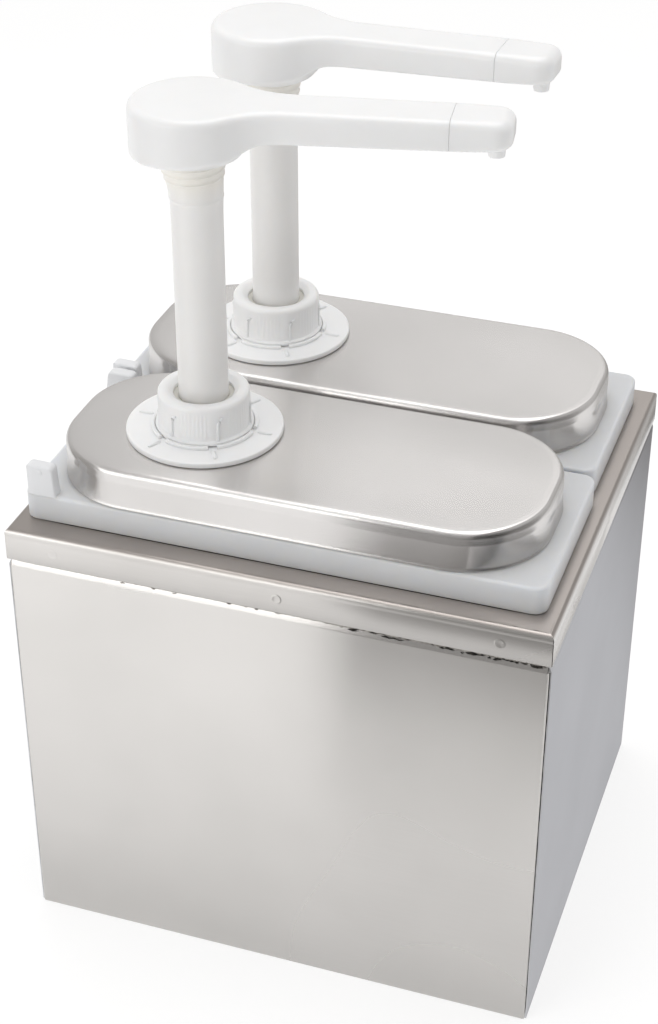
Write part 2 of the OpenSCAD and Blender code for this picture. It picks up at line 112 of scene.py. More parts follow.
def arc(cx, cy, r, start, end, steps):
    """Points along an arc, both ends included; angles in degrees."""
    turns = [radians(start + (end - start) * i / steps) for i in range(steps + 1)]
    return [polar(cx, cy, r, a) for a in turns]


def polar(cx, cy, r, a):
    """The point at distance r and angle a from a centre."""
    return cx + r * cos(a), cy + r * sin(a)


def full_turn(count):
    """Angles of a full turn in equal steps, in radians."""
    return [2 * pi * k / count for k in range(count)]


def smoothstep(low, high, x):
    """0 up to low, 1 from high on, and an eased climb between them."""
    t = min(max((x - low) / (high - low), 0), 1)
    return t * t * (3 - 2 * t)


def round_corners(points, radius, closed=True, steps=4):
    """An outline with each corner turned into an arc of about that radius."""
    made = []
    count = len(points)
    for i, p in enumerate(points):
        if not closed and i in (0, count - 1):
            made.append(tuple(p))
            continue
        here = Vector(p)
        before, after = Vector(points[i - 1]) - here, Vector(points[(i + 1) % count]) - here
        half = before.angle(after) / 2
        if half > radians(86):
            made.append(tuple(p))
            continue
        reach = min(radius / tan(half), 0.45 * before.length, 0.45 * after.length)
        start, end = here + before.normalized() * reach, here + after.normalized() * reach
        for k in range(steps + 1):
            t = k / steps
            q = start * (1 - t) ** 2 + here * 2 * t * (1 - t) + end * t * t
            made.append(tuple(q))
    return made


def skin(rings, looped=False, cap_start=False, cap_end=False, open_ring=False):
    """Vertices and faces over rings that have the same number of points."""
    n = len(rings[0])
    verts = [p for ring in rings for p in ring]
    faces = []
    for i in range(len(rings) if looped else len(rings) - 1):
        a, b = i * n, (i + 1) % len(rings) * n
        for k in range(n - 1 if open_ring else n):
            m = (k + 1) % n
            faces.append((a + k, a + m, b + m, b + k))
    if cap_start:
        faces.append(tuple(range(n))[::-1])
    if cap_end:
        faces.append(tuple(range(len(verts) - n, len(verts))))
    return verts, faces


def solid(rings):
    """Rings skinned over, with a cap at each end."""
    return skin(rings, cap_start=True, cap_end=True)


def joined(*parts):
    """Several (vertices, faces) as one."""
    verts, faces = [], []
    for part_verts, part_faces in parts:
        shift = len(verts)
        verts += part_verts
        faces += [tuple(i + shift for i in face) for face in part_faces]
    return verts, faces


def rect_ring(length, width, r, z, cx=0.0, cy=0.0, steps=14):
    """One ring round a rectangle with round corners."""
    ring = []
    for k, (sx, sy) in enumerate(CORNERS):
        corner = arc(cx + sx * (length / 2 - r), cy + sy * (width / 2 - r), r, 90 * k, 90 * k + 90, steps)
        ring += [(x, y, z) for x, y in corner]
    return ring


def lathe(profile, cx, cy, segments=96, shape=None):
    """A closed (radius, height) profile turned round an upright axis.

    shape(angle, r, z) gives another radius.
    """
    rings = []
    for r, z in profile:
        ring = []
        for a in full_turn(segments):
            radius = shape(a, r, z) if shape else r
            ring.append((*polar(cx, cy, radius, a), z))
        rings.append(ring)
    return skin(rings, looped=True)


def capsule(points, radii, segments=10):
    """A tube through points, with the given radius at each."""
    rings = []
    for i, p in enumerate(points):
        p = Vector(p)
        ahead = Vector(points[min(i + 1, len(points) - 1)]) - Vector(points[max(i - 1, 0)])
        side = ahead.cross(Vector((0, 0, 1)) if abs(ahead.normalized().z) < 0.9 else Vector((1, 0, 0)))
        side.normalize()
        up = side.cross(ahead).normalized()
        spokes = [cos(a) * side + sin(a) * up for a in full_turn(segments)]
        rings.append([tuple(p + radii[i] * spoke) for spoke in spokes])
    return solid(rings)


def laid(along_x, points):
    """Points set out along X, as they are or with X and Y swapped so that they lie along Y."""
    return points if along_x else [(y, x, z) for x, y, z in points]


def new_mesh(name, verts, faces):
    """A mesh from points in metres."""
    mesh = bpy.data.meshes.new(name)
    mesh.from_pydata(verts, [], faces)
    return mesh


def add_object(name, data):
    """A new object in the scene."""
    made = bpy.data.objects.new(name, data)
    scene.collection.objects.link(made)
    return made


MERGE_WITHIN, SLIVER = 0.004 * MM, 0.002 * MM
BEVEL_FROM = radians(40)


def piece(name, shape, material, body, replaces=(), sharp=38, bevel=0.0):
    """Makes a named piece from (vertices, faces) in millimetres, and has it ride on a body."""
    mesh = new_mesh(name, [tuple(c * MM for c in v) for v in shape[0]], shape[1])
    bm = bmesh.new()
    bm.from_mesh(mesh)
    bmesh.ops.remove_doubles(bm, verts=bm.verts, dist=MERGE_WITHIN)
    bmesh.ops.dissolve_degenerate(bm, edges=bm.edges, dist=SLIVER)
    bmesh.ops.recalc_face_normals(bm, faces=bm.faces)
    bm.to_mesh(mesh)
    bm.free()
    mesh.materials.append(material)
    mesh.shade_smooth()
    mesh.set_sharp_from_angle(angle=radians(sharp))
    made = add_object(name, mesh)
    if bevel:
        edge = made.modifiers.new("edge", "BEVEL")
        edge.width, edge.segments, edge.limit_method = bevel * MM, 2, "ANGLE"
        edge.angle_limit = BEVEL_FROM
        edge.harden_normals = True
    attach(made, body)
    if replaces:
        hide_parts(*replaces)
    return made


# ---- materials ----

def fill(node, values):
    """Sets a node's own values for the named inputs."""
    for socket, value in values.items():
        node.inputs[socket].default_value = value


class Shader:
    """A Principled material whose colour, roughness and bump come from nodes in object space."""

    def __init__(self, name, **values):
        self.material = bpy.data.materials.new(name)
        self.material.use_nodes = True
        self.tree = self.material.node_tree
        self.bsdf = self.tree.nodes["Principled BSDF"]
        fill(self.bsdf, {socket.replace("_", " "): value for socket, value in values.items()})
        self.coords = self.add("ShaderNodeTexCoord").outputs["Object"]
        self.bumps = None

    def add(self, kind, **settings):
        node = self.tree.nodes.new(kind)
        for key, value in settings.items():
            setattr(node, key, value)
        return node

    def link(self, a, b):
        self.tree.links.new(a, b)

    def noise(self, scale, stretch=(1, 1, 1), detail=4.0, roughness=0.55):
        """Noise in object space; scale is in waves per metre, stretch multiplies each axis."""
        mapping = self.add("ShaderNodeMapping")
        fill(mapping, {"Scale": stretch})
        self.link(self.coords, mapping.inputs["Vector"])
        node = self.add("ShaderNodeTexNoise")
        self.link(mapping.outputs["Vector"], node.inputs["Vector"])
        fill(node, {"Scale": scale, "Detail": detail, "Roughness": roughness})
        return node.outputs["Fac"]

    def span(self, value, low, high, to_low=0.0, to_high=1.0):
        """Maps the range from low to high onto the other range, clamped at its ends."""
        node = self.add("ShaderNodeMapRange", clamp=True)
        self.link(value, node.inputs["Value"])
        fill(node, {"From Min": low, "From Max": high, "To Min": to_low, "To Max": to_high})
        return node.outputs["Result"]

    def math(self, operation, a, b=0.0):
        """One operation on node outputs or plain numbers."""
        node = self.add("ShaderNodeMath", operation=operation)
        for socket, value in zip(node.inputs, (a, b)):
            if isinstance(value, (int, float)):
                socket.default_value = value
            else:
                self.link(value, socket)
        return node.outputs["Value"]

    def mix(self, factor, a, b):
        """Colour a where factor is 0 and b where it is 1."""
        node = self.add("ShaderNodeMix", data_type="RGBA")
        self.link(factor, node.inputs["Factor"])
        for socket, value in ((node.inputs[6], a), (node.inputs[7], b)):
            if isinstance(value, tuple):
                socket.default_value = (*value, 1)
            else:
                self.link(value, socket)
        return node.outputs[2]

    def colour(self, output):
        self.link(output, self.bsdf.inputs["Base Color"])

    def roughness(self, output):
        self.link(output, self.bsdf.inputs["Roughness"])

    def bump(self, height, distance):
        """Adds a bump; distance is in millimetres."""
        node = self.add("ShaderNodeBump")
        fill(node, {"Strength": 1.0, "Distance": distance * MM})
        self.link(height, node.inputs["Height"])
        if self.bumps:
            self.link(self.bumps, node.inputs["Normal"])
        self.bumps = node.outputs["Normal"]
        self.link(self.bumps, self.bsdf.inputs["Normal"])


# Painted shade: darker colours for the flat ledge, standing in for the shade it lies in between the tubs and
# the skirt.
LEDGE_SHADE_DARK, LEDGE_SHADE_LIGHT = (0.41, 0.375, 0.352), (0.48, 0.442, 0.418)
# A near-black strip on the ledge, a painted shadow for the gap where the rim is bowed clear of it, lies along
# each tub's outer long side.
GAP_Y = (abs(TUB_AT["left"][1]) + RIM_W / 2 + 0.1) * MM
GAP_X = (RIM_L / 2 - 5) * MM
GAP_WIDE, GAP_FADE_X = 5 * MM, 14 * MM
GAP_PAINTED_SHADOW = (0.035, 0.032, 0.03)


def brushed_steel(name, light, dark, rough, along, ledge_z=None, edge=(0.9, 0.9, 0.9)):
    """Brushed sheet steel; along is the axis ("X" or "Y") that the brushing follows.

    With ledge_z, the flat ledge at that height is painted darker as painted shade, and it has a
    near-black strip, a painted shadow for the gap under the tubs' rims.
    """
    shader = Shader(name, Metallic=1.0, Anisotropic=1.0, Specular_Tint=(*edge, 1))
    across = shader.add("ShaderNodeTangent", direction_type="RADIAL", axis=along)
    shader.link(across.outputs["Tangent"], shader.bsdf.inputs["Tangent"])
    stretch = (0.03, 1, 1) if along == "X" else (1, 0.03, 1)
    lines = shader.noise(1500, stretch, detail=3, roughness=0.7)
    cloud = shader.noise(14, detail=2, roughness=0.5)
    wave = shader.noise(9, detail=0)
    smudge = shader.span(shader.noise(22, detail=1), 0.6, 0.8)
    tone = shader.mix(shader.span(cloud, 0.3, 0.7), dark, light)
    streaks = shader.math("MULTIPLY", shader.span(lines, 0.35, 0.7), 0.1)
    tone = shader.mix(streaks, tone, tuple(min(c * 1.15, 1) for c in light))
    tone = shader.mix(shader.math("MULTIPLY", smudge, 0.12), tone, tuple(c * 0.82 for c in dark))
    if ledge_z:
        place = shader.add("ShaderNodeSeparateXYZ")
        shader.link(shader.coords, place.inputs["Vector"])
        # Painted shade: the flat ledge is darkened.
        on_ledge = shader.span(place.outputs["Z"], ledge_z - 1.2 * MM, ledge_z - 0.3 * MM)
        tone = shader.mix(on_ledge, tone, shader.mix(cloud, LEDGE_SHADE_DARK, LEDGE_SHADE_LIGHT))
        # Painted shadow: a near-black strip along each tub's outer long side, under its bowed rim.
        out = shader.math("ABSOLUTE", place.outputs["Y"])
        outer_edge = shader.span(out, GAP_Y - 0.2 * MM, GAP_Y, 1, 0)
        inner_edge = shader.span(out, GAP_Y - GAP_WIDE, GAP_Y - GAP_WIDE + MM)
        strip = shader.math("MULTIPLY", inner_edge, outer_edge)
        ends = shader.span(shader.math("ABSOLUTE", place.outputs["X"]), GAP_X - GAP_FADE_X, GAP_X, 1, 0)
        strip = shader.math("MULTIPLY", strip, ends)
        tone = shader.mix(shader.math("MULTIPLY", strip, on_ledge), tone, GAP_PAINTED_SHADOW)
    shader.colour(tone)
    shader.roughness(shader.span(wave, 0.0, 1.0, rough - 0.02, rough + 0.02))
    shader.bump(wave, 0.2)
    return shader.material


THREAD_TINT_FROM, THREAD_TINT_TO = (HEAD_Z - 15) * MM, (HEAD_Z - 8) * MM


def moulded_plastic(name, light, dark, rough, scatter, gloss=0.0, scatter_mm=(3, 2.6, 2.2), tint=None):
    """Moulded plastic with light that scatters inside it and a faint orange-peel surface.

    A tint is the colour it turns towards at the height of the stem's lock thread.
    """
    shader = Shader(name, Subsurface_Weight=scatter, Subsurface_Scale=MM, IOR=1.49,
                    Subsurface_Radius=scatter_mm, Coat_Weight=gloss, Coat_Roughness=0.12)
    cloud = shader.noise(22, detail=5, roughness=0.6)
    tone = shader.mix(shader.span(cloud, 0.35, 0.68), light, dark)
    if tint:
        place = shader.add("ShaderNodeSeparateXYZ")
        shader.link(shader.coords, place.inputs["Vector"])
        near = shader.span(place.outputs["Z"], THREAD_TINT_FROM, THREAD_TINT_TO, 0.0, 0.8)
        tone = shader.mix(near, tone, tint)
    shader.colour(tone)
    worn = shader.noise(60, detail=6, roughness=0.7)
    shader.roughness(shader.math("ADD", shader.span(worn, 0.3, 0.7, -0.06, 0.06), rough))
    shader.bump(shader.noise(900, detail=3), 0.01)
    shader.bump(shader.noise(45, detail=2), 0.05)
    return shader.material


def polished_steel(name):
    """Smooth, slightly cloudy steel."""
    shader = Shader(name, Metallic=1.0)
    cloud = shader.noise(120, detail=3)
    shader.colour(shader.mix(cloud, (0.62, 0.62, 0.61), (0.75, 0.75, 0.74)))
    shader.roughness(shader.span(shader.noise(700, detail=4), 0.3, 0.7, 0.08, 0.2))
    return shader.material


def grainy_metal(name, metallic, grain, colour_span, colours, roughest, smoothest, bump):
    """Rough metal whose colour, roughness and bump all follow one grain: (scale, detail, roughness)."""
    shader = Shader(name, Metallic=metallic)
    scale, detail, roughness = grain
    level = shader.noise(scale, detail=detail, roughness=roughness)
    shader.colour(shader.mix(shader.span(level, *colour_span), *colours))
    shader.roughness(shader.span(level, 0.3, 0.7, roughest, smoothest))
    shader.bump(level, bump)
    return shader.material


PANEL_STEEL = brushed_steel("panel_steel", (0.74, 0.72, 0.7), (0.69, 0.672, 0.652), 0.27, "X")
# Painted shade: the end panels are the same steel as the sides, given a darker, bluer copy of it.
END_STEEL_SHADED = brushed_steel("end_panel_steel_shaded", (0.59, 0.592, 0.612), (0.54, 0.542, 0.56), 0.3, "Y",
                          edge=(0.67, 0.675, 0.692))
FRAME_STEEL = brushed_steel("frame_steel", (0.7, 0.68, 0.66), (0.6, 0.58, 0.56), 0.28, "X",
                            ledge_z=BOX_H * MM)
LID_STEEL = brushed_steel("lid_steel", (0.75, 0.732, 0.722), (0.69, 0.673, 0.66), 0.26, "X")
TUB_PLASTIC = moulded_plastic("tub_plastic", (0.7, 0.712, 0.732), (0.66, 0.672, 0.692), 0.36, 0.6,
                              scatter_mm=(4, 4.5, 5.5))
# Painted light: the lugs get a lighter copy of the tub's plastic, without its scatter.
LUG_PLASTIC_LIT = moulded_plastic("lug_plastic_lit", (0.8, 0.808, 0.824), (0.77, 0.778, 0.796), 0.4, 0.0)
PUMP_PLASTIC = moulded_plastic("pump_plastic", (0.87, 0.872, 0.875), (0.84, 0.842, 0.842), 0.34, 0.15, 0.15)
# Painted light: the flange and collar get a lighter copy of the pump's white plastic, standing in for the
# light the disc bounces onto them.
FLANGE_PLASTIC_LIT = moulded_plastic("flange_plastic_lit", (0.93, 0.93, 0.93), (0.9, 0.9, 0.9), 0.36, 0.25)
NECK_PLASTIC = moulded_plastic("neck_plastic", (0.87, 0.862, 0.85), (0.84, 0.832, 0.82), 0.36, 0.15,
                               tint=(0.86, 0.835, 0.775))
INNER_PLASTIC = moulded_plastic("inner_plastic", (0.76, 0.74, 0.68), (0.71, 0.69, 0.63), 0.42, 0.2)
SILICONE = moulded_plastic("silicone", (0.66, 0.66, 0.64), (0.58, 0.58, 0.56), 0.62, 0.35)
POLISHED = polished_steel("polished_steel")
WELD = grainy_metal("weld_metal", 1.0, (900, 6, 0.75), (0.35, 0.65),
                    ((0.16, 0.14, 0.12), (0.62, 0.6, 0.57)), 0.55, 0.3, 0.12)
# Near-black metal: painted shadow in the open corner seams and under the end skirts; it also makes the dark
# chips.
SEAM_SHADOW_METAL = grainy_metal("seam_shadow_metal", 0.4, (700, 5, 0.7), (0.45, 0.75),
                          ((0.012, 0.011, 0.01), (0.12, 0.105, 0.09)), 0.75, 0.5, 0.1)


# ---- housing ----

SKIRT_BEND, SKIRT_IN = 2.0, 0.1
CORNER_BEND, SEAM_W = 0.9, 0.75
SHOULDER_R, SHOULDER_TURN = 6.0, radians(45)
SHOULDER_Z = SKIRT_Z - SHOULDER_R * sin(SHOULDER_TURN) + 0.6
RETURN_W = 14
LIP_IN = 1.6
LIP_L, LIP_W, LIP_R = LID_L - 2 * LIP_IN, LID_W - 2 * LIP_IN, LID_R - LIP_IN
WALL_IN, TUB_WALL = 1.8, 2.4
OPENING = (LIP_L - 2 * WALL_IN + 4, LIP_W - 2 * WALL_IN + 3.5, LIP_R)
SPOTS_X, SPOTS_Y, SPOT_UP = (-92, 3, 92), (-62, 0, 62), 6.2


def flat_with_holes(outer, holes, z):
    """One flat face with holes, as triangles."""
    bm = bmesh.new()
    edges = []
    for loop in [outer] + holes:
        corners = [bm.verts.new((x, y, z)) for x, y in loop]
        edges += [bm.edges.new((corners[i - 1], corners[i])) for i in range(len(corners))]
    bmesh.ops.triangle_fill(bm, edges=edges, use_beauty=True)
    bm.verts.index_update()
    shape = [tuple(v.co) for v in bm.verts], [tuple(v.index for v in f.verts) for f in bm.faces]
    bm.free()
    return shape


def top_frame():
    """Ledge with two openings, and four skirts mitred at the corners with a hairline gap outside."""
    half_l, half_w = BOX_L / 2 - SKIRT_IN, BOX_W / 2 - SKIRT_IN
    ease, corner_gap, dent, ledge_face = 0.12, 0.25, 0.1, BOX_H - 0.001
    bend_z, ledge_in = BOX_H - SKIRT_BEND, SKIRT_BEND + 0.6
    crease = bend_z - 1.3
    profile = [(ease, SKIRT_Z), (0, SKIRT_Z + ease), (0, crease - 0.5), (dent, crease), (0, crease + 0.5)]
    profile += arc(SKIRT_BEND, bend_z, SKIRT_BEND, 180, 90, 6)
    profile += [(ledge_in, BOX_H), (ledge_in, BOX_H - SHEET)]
    profile += arc(SKIRT_BEND, bend_z, SKIRT_BEND - SHEET, 90, 180, 6)
    profile += [(SHEET, SKIRT_Z + ease), (SHEET - ease, SKIRT_Z)]
    parts = []
    for sign in (-1, 1):
        for along_x, half, face in ((True, half_l, half_w), (False, half_w, half_l)):
            rings = []
            for end in (-1, 1):
                ring = [(end * (half - max(u, corner_gap)), sign * (face - u), z) for u, z in profile]
                rings.append(laid(along_x, ring))
            parts.append(solid(rings))
    outer = [(sx * (half_l - SKIRT_BEND), sy * (half_w - SKIRT_BEND)) for sx, sy in CORNERS]
    holes = []
    for side in SIDES:
        rings = [rect_ring(*OPENING, z, *OPENING_AT[side]) for z in (BOX_H - SHEET, ledge_face)]
        holes.append([(x, y) for x, y, _ in rings[0]])
        parts.append(skin(rings))
    parts.append(flat_with_holes(outer, holes, ledge_face))
    parts.append(flat_with_holes(outer, holes, BOX_H - SHEET))
    piece("top_frame_folded", joined(*parts), FRAME_STEEL, "housing", ["top_frame"], sharp=50)


def panel_outline():
    """Upright section of a panel: (inset of the outer face at this height, depth in the sheet, height).

    Above SHOULDER_Z the face tilts inwards as a pressed facet, and then goes up behind the skirt.
    """
    steps, crowding, ease = 16, 1.5, 0.1
    tuck, press_tilt, press_up, curl = 0.9, 19.5, 1.1, 2.2
    rise = SKIRT_Z + tuck - SHOULDER_Z
    inset, outer, inner = 0.0, [], []
    for i in range(steps + 1):
        up = rise * (i / steps) ** crowding
        tilt = radians(press_tilt * smoothstep(0, press_up, up) + curl * up)
        if outer:
            inset += tan(tilt) * (SHOULDER_Z + up - outer[-1][2])
        outer.append((inset, 0, SHOULDER_Z + up))
        inner.append((inset + SHEET * (cos(tilt) - 1), SHEET, SHOULDER_Z + up - SHEET * sin(tilt)))
    top_in = inset + 0.05
    foot = [(0, SHEET, ease), (0, SHEET - ease, 0), (0, ease, 0), (0, 0, ease)]
    top = [(top_in, 0, SKIRT_Z + 2), (top_in, 0, PANEL_TOP), (top_in, SHEET, PANEL_TOP),
           (top_in, SHEET, SKIRT_Z + 1.4)]
    return foot + outer + top + inner[::-1]


def side_panel(side):
    """Panel whose ends, shoulder included, wrap inwards to a return flange behind the end panels."""
    sign = SIDES[side]
    flat_end = PANEL_X - SEAM_W - CORNER_BEND
    turns = [radians(90 * i / 8) for i in range(9)]
    stations = [(1, a, 0) for a in turns] + [(1, turns[-1], RETURN_W)]
    stations = [(-1, a, run) for _, a, run in stations[::-1]] + stations
    rings = []
    for end, a, run in stations:
        ring = []
        for inset, depth, z in panel_outline():
            r = CORNER_BEND - depth
            x = end * (flat_end + r * sin(a))
            ring.append((x, sign * (PANEL_Y - inset - CORNER_BEND + r * cos(a) - run), z))
        rings.append(ring)
    node = side + "_side_panel"
    piece(node + "_folded", solid(rings), PANEL_STEEL, "housing", [node], sharp=50)


def end_panel(name, sign):
    """Flat panel with the same pressed shoulder, closing one end of the housing."""
    half = PANEL_Y - 1.0
    outline = panel_outline()
    rings = [[(sign * (PANEL_X - inset - depth), y, z) for inset, depth, z in outline] for y in (-half, half)]
    # The end panels take the darker, bluer copy of the steel: painted shade.
    piece(name + "_folded", solid(rings), END_STEEL_SHADED, "housing", [name], sharp=50, bevel=0.12)


def corner_seams():
    """Dark, slightly uneven filling down in the four upright joints, a painted shadow for the open seams."""
    foot, top, steps = 0.3, SHOULDER_Z + 3.0, 60
    in_x, in_y, shoulder_lean = 0.95, 1.35, 0.35
    seam_r, end_r, uneven = 0.62, 0.2, 0.12
    parts = []
    for sx in (-1, 1):
        for sy in (-1, 1):
            points, radii = [], []
            for k in range(steps + 1):
                z = foot + (top - foot) * k / steps
                wander = uneven * noise.noise(Vector((sx * 3, sy * 5, z * 0.09)))
                inset = max(z - SHOULDER_Z, 0) * shoulder_lean
                points.append((sx * (PANEL_X - in_x + wander - inset), sy * (PANEL_Y - in_y - inset), z))
                radii.append(seam_r + uneven * noise.noise(Vector((sx, sy * 2, z * 0.5))))
            radii[0] = radii[-1] = end_r
            parts.append(capsule(points, radii))
    piece("corner_seams_painted_shadow", joined(*parts), SEAM_SHADOW_METAL, "housing", sharp=80)


def base_tray():
    """Shallow tray with turned-up edges, the floor of the housing."""
    low, high = box_mm("base_tray")
    length, width = high.x - low.x, high.y - low.y
    bend, corner_r, floor_in = 1.2, 9, 8.0
    section = [(-floor_in, 0.0), (-bend, 0.0)] + arc(-bend, bend, bend, -90, 0, 5)
    section += [(0, high.z), (-SHEET, high.z)] + arc(-bend, bend, bend - SHEET, 0, -90, 5)
    section += [(-floor_in, SHEET)]
    rings = [rect_ring(length + 2 * o, width + 2 * o, max(corner_r + o, 1), z, steps=6) for o, z in section]
    piece("base_tray_pressed", solid(rings), FRAME_STEEL, "housing", ["base_tray"])


# Crumbs of metal along a joint: where they start, how they spread and crowd, and their ranges in mm.
SPATTER = {"start": 1, "spread": 1.7, "crowding": 2.4, "length": (0.3, 1.7), "drop": (0.3, 1.1),
           "size": (0.18, 0.42), "inset": 1.2, "wobble": 0.15, "at": (-1, -0.6, 0, 0.6, 1), "swell": 0.8}
CHIPS = {"start": 0.995, "spread": 0.72, "crowding": 1.25, "length": (0.5, 2.6), "drop": (0.3, 1.5),
         "size": (0.2, 0.42), "inset": 0.95, "wobble": 0.2, "at": (-1, -0.5, 0, 0.5, 1), "swell": 0.7}
FLECK_LEAN, FLECK_DOWN, FLECK_TIP = 0.42, 0.3, 0.03
SPATTER_COUNT, CHIP_COUNT = 60, 44


def fleck(rng, end, place, kind):
    """One small lengthwise crumb of metal just below a skirt."""
    t = end * (kind["start"] - kind["spread"] * rng.random() ** kind["crowding"])
    length, size = rng.uniform(*kind["length"]), rng.uniform(*kind["size"])
    drop, wobble = rng.uniform(*kind["drop"]), kind["wobble"]
    inset = kind["inset"] - FLECK_LEAN * drop
    spots = [place(t + length * u, inset, SKIRT_Z - FLECK_DOWN - drop + rng.uniform(-wobble, wobble))
             for u in kind["at"]]
    return capsule(spots, [FLECK_TIP, size * kind["swell"], size, size * 0.8, FLECK_TIP], 6)


def weld_beads():
    """Uneven bead between each skirt and its panel, with spatter, and dark chips on the long sides; on the
    end skirts bead and spatter are near-black, painted shadow.
    """
    rng = random.Random(5)
    steps, uneven, least_r, end_r = 150, 0.14, 0.2, 0.02
    joints = (("left", True, -1), ("right", True, 1), ("rear", False, -1), ("front", False, 1))
    for name, along_x, sign in joints:
        end = (PANEL_X if along_x else PANEL_Y) - 3.5
        face = PANEL_Y if along_x else PANEL_X
        bead_in, bead_down, plain_r = (0.95, 0.8, 0.2) if along_x else (0.55, 1.2, 0.36)
        thicker = 0.34 if along_x else 0

        def place(t, inset, z):
            return laid(along_x, [(t, sign * (face - inset), z)])[0]

        points, radii = [], []
        for i in range(steps + 1):
            t = -end + 2 * end * i / steps
            bead_r = plain_r + thicker * smoothstep(5, 45, t)
            size = bead_r + uneven * noise.noise(Vector((t * 0.31, sign * 7, along_x)))
            points.append(place(t, bead_in + 0.15 * rng.random(), SKIRT_Z - bead_down))
            radii.append(max(size, least_r))
        radii[0] = radii[-1] = end_r
        parts = [capsule(points, radii, 8)]
        parts += [fleck(rng, end, place, SPATTER) for _ in range(SPATTER_COUNT)]
        if along_x:
            chips = [fleck(rng, end, place, CHIPS) for _ in range(CHIP_COUNT)]
            piece(name + "_skirt_chips", joined(*chips), SEAM_SHADOW_METAL, "housing", sharp=70)
        # At the end skirts the bead takes the near-black metal: painted shadow in the groove under the skirt.
        finish = WELD if along_x else SEAM_SHADOW_METAL
        piece(name + "_skirt_bead_and_shadow", joined(*parts), finish, "housing", sharp=70)


def spot_welds():
    """Shallow rings that the welding tips left on the skirt."""
    section = [(0, 0.02), (1.1, 0.03), (1.5, 0.09), (1.9, 0.09), (2.3, 0.01)]
    z = SKIRT_Z + SPOT_UP
    parts = []
    for sign in (-1, 1):
        for along_x, spots, width in ((True, SPOTS_X, BOX_W), (False, SPOTS_Y, BOX_L)):
            face = width / 2 - SKIRT_IN
            for t in spots:
                rings = []
                for r, proud in section:
                    out = sign * (face + proud)
                    ring = [(t + r * cos(a), out, z + r * sin(a)) for a in full_turn(28)]
                    rings.append(laid(along_x, ring))
                parts.append(skin(rings))
    piece("skirt_spot_welds", joined(*parts), FRAME_STEEL, "housing", sharp=80)


top_frame()
for side_name in SIDES:
    side_panel(side_name)
end_panel("front_panel", 1)
end_panel("rear_panel", -1)
base_tray()
corner_seams()
weld_beads()
spot_welds()


# ---- tubs and lids ----

TUB_FLOOR = TUB_LOW.z
DRAFT, FOOT_R, LIP_UP = 4, 8, 8
RIM_EDGE = 1.3
BOW_UP, BOW_X, BOW_REACH = 1.25, -2, 82
LUG_LONG, LUG_THICK, LUG_EDGE, LUG_DRAFT = 14.0, 5.5, 1.1, 1.4
LUG_IN, LUG_BACK, LUG_SINK = 0.3, 0.15, 1.6
PIP_AT, PIP_DOWN = 8, 2.8
PIP = ((1.3, -0.4), (1.3, 0), (1.2, 0.12), (0.95, 0.22), (0.5, 0.27))


def tub(side):
    """Open moulding as one closed skin: floor, inner wall, lip, rim with a bowed edge, outer wall."""
    place = TUB_AT[side]
    wall_low = -WALL_IN - DRAFT
    lip_top = RIM_Z + LIP_UP
    foot_z = TUB_FLOOR + FOOT_R
    ease, rim_under = 0.5, RIM_Z - TUB_WALL

    def body(o, z):
        return rect_ring(LIP_L + 2 * o, LIP_W + 2 * o, LIP_R + o, z, *place)

    def rim(o, z):
        return rect_ring(RIM_L + 2 * o, RIM_W + 2 * o, RIM_R + o, z, *place)

    def bow(x):
        return BOW_UP * max(1 - abs(x - BOW_X) / BOW_REACH, 0) ** 0.5

    rings = [body(o, z) for o, z in arc(wall_low - FOOT_R, foot_z, FOOT_R - TUB_WALL, -90, 0, 8)]
    rings += [body(-WALL_IN - TUB_WALL, RIM_Z - 4.4), body(-TUB_WALL, RIM_Z - 1.4)]
    rings += [body(-TUB_WALL, lip_top - ease), body(-TUB_WALL + ease, lip_top), body(-ease, lip_top)]
    rings += [body(0, lip_top - ease)]
    rings += [body(o, z) for o, z in arc(ease, RIM_Z + ease, ease, 180, 270, 3)]
    rings += [rim(-RIM_EDGE - 0.3, RIM_Z)]
    rings += [rim(o, z) for o, z in arc(-RIM_EDGE, RIM_Z - RIM_EDGE, RIM_EDGE, 90, 0, 8)]
    for o, z in ((0, 0.5), (-0.35, 0.12), (-TUB_WALL, 0.12)):
        rings.append([(x, y, z + BOX_H + bow(x - place[0])) for x, y, z in rim(o, z)])
    rings += [rim(-TUB_WALL, rim_under), body(0.2, rim_under), body(-WALL_IN, rim_under - 2)]
    rings += [body(o, z) for o, z in arc(wall_low - FOOT_R, foot_z, FOOT_R, 0, -90, 8)]
    piece(side + "_tub_moulded", solid(rings), TUB_PLASTIC, side + "_tub", [side + "_tub"])
    lugs = joined(tub_lug(*place, -1), tub_lug(*place, 1))
    piece(side + "_tub_lugs", lugs, LUG_PLASTIC_LIT, side + "_tub")


